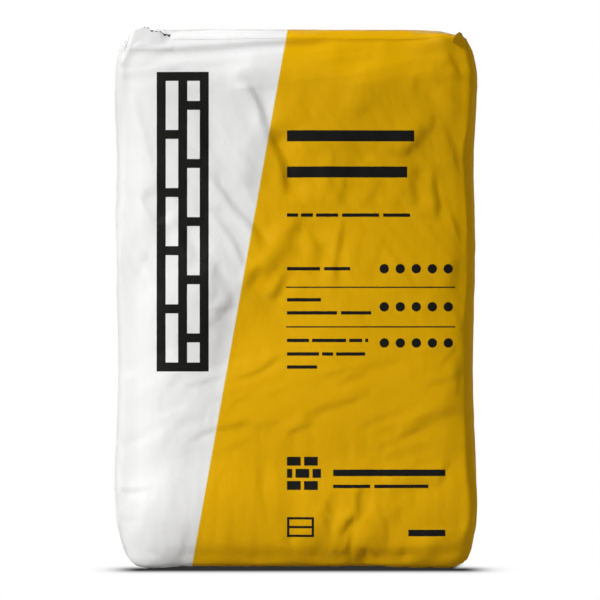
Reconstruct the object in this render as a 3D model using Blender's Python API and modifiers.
"""A filled 25 kg cement sack with block ends, standing upright on its bottom.

The sack is a tube of plastic film, closed at both ends by folding. When it is filled, each end is a
flat rectangle that is shorter than the body is wide, so a slanted shoulder shows at each corner of
the front. A cover patch is glued over the folds of each end, and the sleeve of the filling valve
comes out from under the top patch at the left.

Metres, +Z up, front towards -Y. The origin is on the floor, under the middle of the sack.
"""

import math
from collections import namedtuple

import bmesh
import bpy
from mathutils import Matrix, Vector

# The body, level by level. The two waists and the fuller foot are those of a settled fill, and the
# left and right sides differ a little, as a real sack's do. Square is 1 at the folded ends and 0
# where the film is free to round itself.
Level = namedtuple("Level", "height left right half_depth bulge square")
BODY_LEVELS = (
    Level(0.0010, 0.1590, 0.1630, 0.0430, 0.0000, 1.0),
    Level(0.0120, 0.1660, 0.1725, 0.0470, 0.0020, 0.8),
    Level(0.0360, 0.1800, 0.1825, 0.0500, 0.0060, 0.4),
    Level(0.0900, 0.1815, 0.1820, 0.0515, 0.0100, 0.0),
    Level(0.1950, 0.1730, 0.1745, 0.0515, 0.0115, 0.0),
    Level(0.3200, 0.1815, 0.1825, 0.0490, 0.0115, 0.0),
    Level(0.4000, 0.1750, 0.1750, 0.0470, 0.0105, 0.0),
    Level(0.4700, 0.1810, 0.1825, 0.0455, 0.0085, 0.1),
    Level(0.5100, 0.1810, 0.1820, 0.0450, 0.0060, 0.4),
    Level(0.5270, 0.1695, 0.1735, 0.0440, 0.0020, 0.8),
    Level(0.5375, 0.1590, 0.1620, 0.0415, 0.0000, 1.0),
)

# The cage of the body has this many cells each way from its middle, across the front and through
# the sack. They are cut at shares of the half width and half depth: the free film rounds its
# corners more than the folded ends do.
CELLS_ACROSS = 3
CELLS_THROUGH = 2
OUTER_CUT_ACROSS = {"free": 0.80, "folded": 0.90}
INNER_CUT_ACROSS = 0.40
CUT_THROUGH = {"free": 0.55, "folded": 0.82}
SMOOTHING_LEVELS = 2

# The fill has slumped, so the front isn't an even swell. A fall is a line of (across, height) points
# along which the front steps back, on the right of the way that the line runs. Its ridge stands out by
# the rise's share of the drop, and its foot lies back by the rest. The ridge dies out over the length
# behind, and the foot over the length ahead. A hollow is a soft oval dent, turned by some degrees.
Fall = namedtuple("Fall", "path drop width behind ahead rise")
FALLS = (
    Fall([(-0.172, 0.520), (-0.158, 0.385), (-0.148, 0.290)], 0.0045, 0.034, 0.040, 0.025, 0.25),
    Fall([(-0.149, 0.350), (-0.145, 0.200), (-0.147, 0.020)], 0.0095, 0.047, 0.055, 0.025, 0.25),
    Fall([(-0.060, 0.390), (0.060, 0.400), (0.185, 0.380)], 0.0070, 0.090, 0.060, 0.080, 0.50),
    Fall([(0.005, 0.345), (0.050, 0.392), (0.130, 0.485)], 0.0060, 0.080, 0.040, 0.060, 0.50),
    Fall([(0.000, 0.385), (0.003, 0.430), (-0.010, 0.485)], 0.0036, 0.044, 0.050, 0.060, 0.50),
    Fall([(0.128, 0.215), (0.136, 0.340), (0.120, 0.440)], 0.0080, 0.067, 0.060, 0.040, 0.30),
)
FALL_END_SHARE = 0.3
Hollow = namedtuple("Hollow", "across height half_width half_height depth turn")
HOLLOWS = (
    Hollow(-0.008, 0.252, 0.040, 0.034, 0.0055, 40.0),
    Hollow(-0.058, 0.232, 0.032, 0.028, 0.0050, 40.0),
)
# How far the film has to face the front, as a share, for the slump to begin and to be whole.
SLUMP_FACING = (0.10, 0.40)

# The sheets glued on the ends. Each keeps a film of glue between itself and the sack.
SHEET_THICKNESS = 0.0007
GLUE_LINE = 0.0003
PATCH_WIDTH = 0.0740
PATCH_CORNER_RADIUS = 0.0030
PATCH_CORNER_SEGMENTS = 3
TOP_PATCH_LEFT = -0.1240
TOP_PATCH_RIGHT = 0.1480
BOTTOM_PATCH_HALF_LENGTH = 0.1450

# The valve sleeve, a flat tube of film whose cut edges have saw teeth.
SLEEVE_LEFT = -0.1520
SLEEVE_FRONT = -0.0370
SLEEVE_BACK = 0.0310
SLEEVE_TOOTH_PITCH = 0.0040
SLEEVE_TOOTH_DEPTH = 0.0018

FILM_YELLOW = (0.660, 0.365, 0.000, 1.0)
FILM_WHITE = (0.880, 0.880, 0.880, 1.0)
FILM_ROUGHNESS = 0.45


def clear_scene():
    for thing in list(bpy.data.objects):
        bpy.data.objects.remove(thing, do_unlink=True)


def new_collection(name):
    collection = bpy.data.collections.new(name)
    bpy.context.scene.collection.children.link(collection)
    return collection


def film_material(name, colour):
    material = bpy.data.materials.new(name)
    material.use_nodes = True
    shader = material.node_tree.nodes["Principled BSDF"]
    shader.inputs["Base Color"].default_value = colour
    shader.inputs["Roughness"].default_value = FILM_ROUGHNESS
    shader.inputs["Metallic"].default_value = 0.0
    return material


def add_object(name, data, material, collection):
    thing = bpy.data.objects.new(name, data)
    data.materials.append(material)
    collection.objects.link(thing)
    return thing


def cut_cells(bm, axis, first, last):
    """Cuts the whole cage by a plane at each whole number between first and last along one axis."""
    for position in range(first + 1, last):
        point = [0.0, 0.0, 0.0]
        normal = [0.0, 0.0, 0.0]
        point[axis] = position
        normal[axis] = 1.0
        everything = bm.verts[:] + bm.edges[:] + bm.faces[:]
        bmesh.ops.bisect_plane(bm, geom=everything, plane_co=point, plane_no=normal)


def between(pair, square):
    return pair["free"] + (pair["folded"] - pair["free"]) * square


def shape_cage(bm):
    """Moves each corner of the cut cube to its place on the sack. In the cut cube, X and Y count the
    cells from the middle, and Z counts the levels."""
    for vert in bm.verts:
        level = BODY_LEVELS[round(vert.co.z)]
        across = {
            0: 0.0,
            1: INNER_CUT_ACROSS,
            2: between(OUTER_CUT_ACROSS, level.square),
            CELLS_ACROSS: 1.0,
        }[abs(round(vert.co.x))]
        through = {
            0: 0.0,
            1: between(CUT_THROUGH, level.square),
            CELLS_THROUGH: 1.0,
        }[abs(round(vert.co.y))]
        half_width = level.left if vert.co.x < 0 else level.right
        swell = level.bulge * (1.0 - across**2) * through
        side = -1.0 if vert.co.x < 0 else 1.0
        face = -1.0 if vert.co.y < 0 else 1.0
        vert.co.x = side * half_width * across
        vert.co.y = face * (level.half_depth * through + swell)
        vert.co.z = level.height


def smooth_step(share):
    share = min(max(share, 0.0), 1.0)
    return share * share * (3.0 - 2.0 * share)


def beside_path(path, place):
    """How far a place lies to the right of a line of points, and how far along it, from 0 to 1."""
    stretches = [(Vector(start), Vector(end)) for start, end in zip(path, path[1:])]
    whole = sum((end - start).length for start, end in stretches)
    nearest = (math.inf, 0.0, 0.0)
    passed = 0.0
    for start, end in stretches:
        step = end - start
        share = min(max((place - start).dot(step) / step.length_squared, 0.0), 1.0)
        gap = place - start - step * share
        right = math.copysign(gap.length, gap.x * step.y - gap.y * step.x)
        nearest = min(nearest, (gap.length, right, (passed + step.length * share) / whole))
        passed += step.length
    return nearest[1:]


def fall_relief(fall, place):
    """How far a fall moves the front out at a place, in metres."""
    right, along = beside_path(fall.path, place)
    fallen = min(max(right / fall.width + 0.5, 0.0), 1.0)
    stands = 0.5 + 0.5 * math.cos(math.pi * fallen)
    share = stands * fall.rise - (1.0 - stands) * (1.0 - fall.rise)
    outside = max(abs(right) - fall.width / 2, 0.0) / (fall.behind if right < 0.0 else fall.ahead)
    ends = smooth_step(along / FALL_END_SHARE) * smooth_step((1.0 - along) / FALL_END_SHARE)
    return fall.drop * share * math.exp(-(outside**2)) * ends


def hollow_relief(hollow, place):
    """How far a hollow moves the front at a place, in metres. Inwards is below zero."""
    offset = place - Vector((hollow.across, hollow.height))
    offset.rotate(Matrix.Rotation(-math.radians(hollow.turn), 2))
    far_along = (offset.x / hollow.half_width) ** 2
    far_over = (offset.y / hollow.half_height) ** 2
    return -hollow.depth * math.exp(-far_along - far_over)


def slump_front(mesh):
    """Moves the points that face the front in or out, along Y only, so that the outline stays."""
    low, high = SLUMP_FACING
    shares = [smooth_step((-vert.normal.y - low) / (high - low)) for vert in mesh.vertices]
    for vert, share in zip(mesh.vertices, shares):
        place = Vector((vert.co.x, vert.co.z))
        relief = sum(fall_relief(fall, place) for fall in FALLS)
        relief += sum(hollow_relief(hollow, place) for hollow in HOLLOWS)
        vert.co.y -= relief * share


def make_sack(material, collection):
    """The filled film body: a cube cut into a coarse cage, shaped, smoothed by subdivision, and given
    the slumped front."""
    bm = bmesh.new()
    top_level = len(BODY_LEVELS) - 1
    bmesh.ops.create_cube(bm, size=2.0)
    bmesh.ops.translate(bm, vec=(0.0, 0.0, 1.0), verts=bm.verts)
    bmesh.ops.scale(bm, vec=(CELLS_ACROSS, CELLS_THROUGH, top_level / 2), verts=bm.verts)
    cut_cells(bm, 0, -CELLS_ACROSS, CELLS_ACROSS)
    cut_cells(bm, 1, -CELLS_THROUGH, CELLS_THROUGH)
    cut_cells(bm, 2, 0, top_level)
    shape_cage(bm)
    cage_mesh = bpy.data.meshes.new("cage")
    bm.to_mesh(cage_mesh)
    bm.free()
    cage = add_object("cage", cage_mesh, material, collection)
    smoothing = cage.modifiers.new("smoothing", "SUBSURF")
    smoothing.levels = SMOOTHING_LEVELS
    smoothing.render_levels = SMOOTHING_LEVELS
    graph = bpy.context.evaluated_depsgraph_get()
    mesh = bpy.data.meshes.new_from_object(cage.evaluated_get(graph))
    mesh.name = "sack"
    mesh.materials.clear()
    bpy.data.objects.remove(cage)
    slump_front(mesh)
    mesh.shade_smooth()
    return add_object("sack", mesh, material, collection)


def make_patch(name, left, right, underside, material, collection):
    """A cover sheet with rounded corners, glued flat on one end."""
    bm = bmesh.new()
    bmesh.ops.create_grid(bm, x_segments=1, y_segments=1, size=0.5)
    bmesh.ops.scale(bm, vec=(right - left, PATCH_WIDTH, 1.0), verts=bm.verts)
    mesh = bpy.data.meshes.new(name)
    bm.to_mesh(mesh)
    bm.free()
    patch = add_object(name, mesh, material, collection)
    patch.location = ((left + right) / 2, 0.0, underside)
    corners = patch.modifiers.new("rounded corners", "BEVEL")
    corners.affect = "VERTICES"
    corners.width = PATCH_CORNER_RADIUS
    corners.segments = PATCH_CORNER_SEGMENTS
    sheet = patch.modifiers.new("sheet", "SOLIDIFY")
    sheet.thickness = SHEET_THICKNESS
    sheet.offset = 1.0
    return patch


def saw_edge(start, end, out):
    """Points along a cut edge with saw teeth, from start up to but not including end. Out is the way
    that the teeth point."""
    run = ((end[0] - start[0]) ** 2 + (end[1] - start[1]) ** 2) ** 0.5
    teeth = round(run / SLEEVE_TOOTH_PITCH)
    points = []
    for half_step in range(2 * teeth):
        share = half_step / (2 * teeth)
        lift = SLEEVE_TOOTH_DEPTH if half_step % 2 else 0.0
        points.append(
            (
                start[0] + (end[0] - start[0]) * share + out[0] * lift,
                start[1] + (end[1] - start[1]) * share + out[1] * lift,
            )
        )
    return points


def make_valve_sleeve(material, collection):
    """The end of the filling valve's flat sleeve: saw-toothed along the front and at its mouth."""
    right = TOP_PATCH_LEFT - GLUE_LINE
    outline = saw_edge((SLEEVE_LEFT, SLEEVE_BACK), (SLEEVE_LEFT, SLEEVE_FRONT), (-1, 0))
    outline += saw_edge((SLEEVE_LEFT, SLEEVE_FRONT), (right, SLEEVE_FRONT), (0, -1))
    outline += [(right, SLEEVE_FRONT), (right, SLEEVE_BACK)]
    curve = bpy.data.curves.new("valve_sleeve", "CURVE")
    curve.dimensions = "2D"
    curve.fill_mode = "BOTH"
    curve.extrude = SHEET_THICKNESS / 2
    spline = curve.splines.new("POLY")
    spline.points.add(len(outline) - 1)
    for point, (x, y) in zip(spline.points, outline):
        point.co = (x, y, 0.0, 1.0)
    spline.use_cyclic_u = True
    sleeve = add_object("valve_sleeve", curve, material, collection)
    sleeve.location.z = BODY_LEVELS[-1].height + GLUE_LINE + SHEET_THICKNESS / 2
    return sleeve


def main():
    clear_scene()
    collection = new_collection("cement_bag")
    printed_film = film_material("printed film", FILM_YELLOW)
    patch_film = film_material("patch film", FILM_YELLOW)
    sleeve_film = film_material("sleeve film", FILM_WHITE)
    make_sack(printed_film, collection)
    make_patch(
        "top_patch",
        TOP_PATCH_LEFT,
        TOP_PATCH_RIGHT,
        BODY_LEVELS[-1].height + GLUE_LINE,
        patch_film,
        collection,
    )
    make_patch(
        "bottom_patch",
        -BOTTOM_PATCH_HALF_LENGTH,
        BOTTOM_PATCH_HALF_LENGTH,
        BODY_LEVELS[0].height - GLUE_LINE - SHEET_THICKNESS,
        patch_film,
        collection,
    )
    make_valve_sleeve(sleeve_film, collection)


main()
